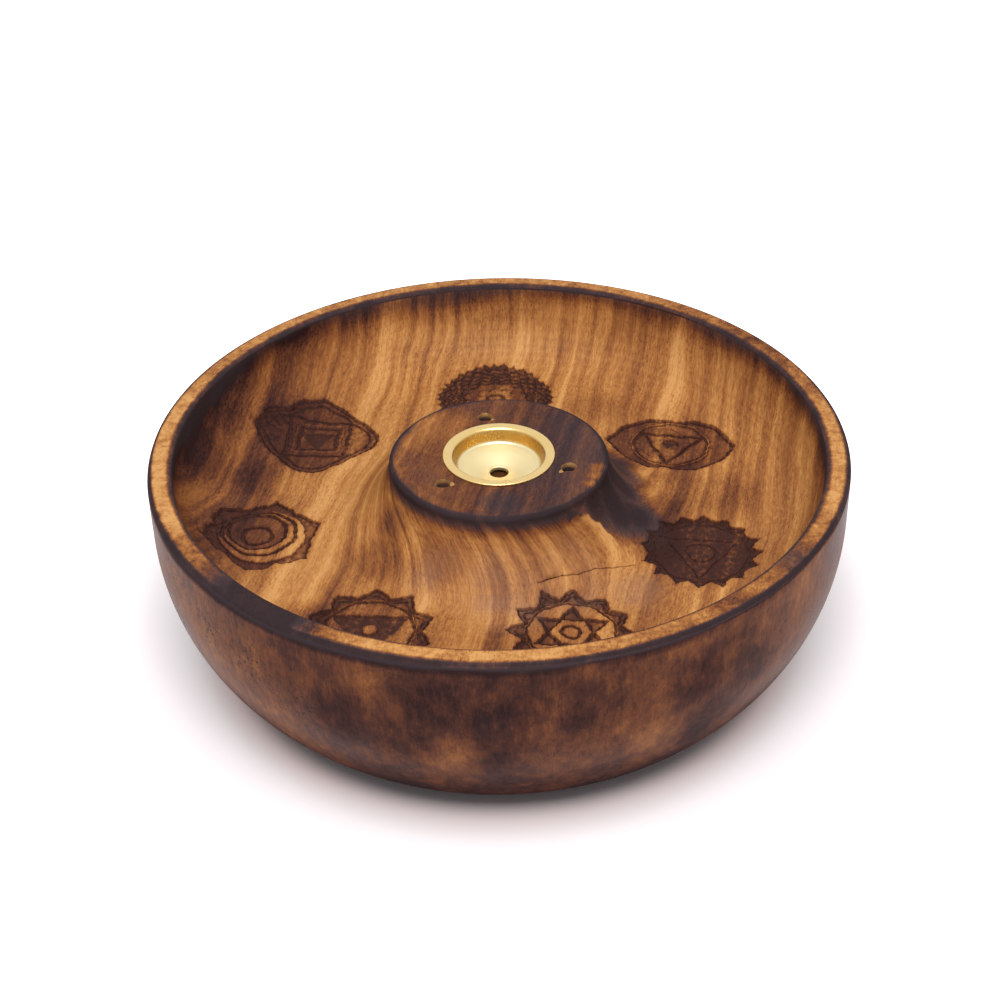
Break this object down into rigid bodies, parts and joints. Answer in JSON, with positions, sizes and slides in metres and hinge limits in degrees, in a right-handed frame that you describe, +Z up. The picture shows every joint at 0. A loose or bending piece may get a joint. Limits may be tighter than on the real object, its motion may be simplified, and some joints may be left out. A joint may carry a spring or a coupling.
{
  "type": "incense burner",
  "caption": "Turned wooden bowl with a raised boss that holds incense sticks in drilled holes and cones in a lift-out brass cup, and a wide trough that catches the ash.",
  "frame": {"origin": "centre of the flat underside, at the level that the bowl rests on", "axes": "+Z up, out of the bowl; -Y is the side that faces the camera in the picture, +X to its right"},
  "size_m": [0.15, 0.15, 0.05],
  "materials": {
    "scorched_wood": "scorched and waxed, satin",
    "polished_brass": "polished"
  },
  "bodies": {
    "bowl": {"turned_bowl": "scorched_wood"},
    "cup": {"cone_cup": "polished_brass"}
  },
  "joints": [
    {"name": "cup_lift", "type": "slide", "parent": "bowl", "child": "cup", "axis": [0, 0, 1], "range_m": [0, 0.03]}
  ]
}
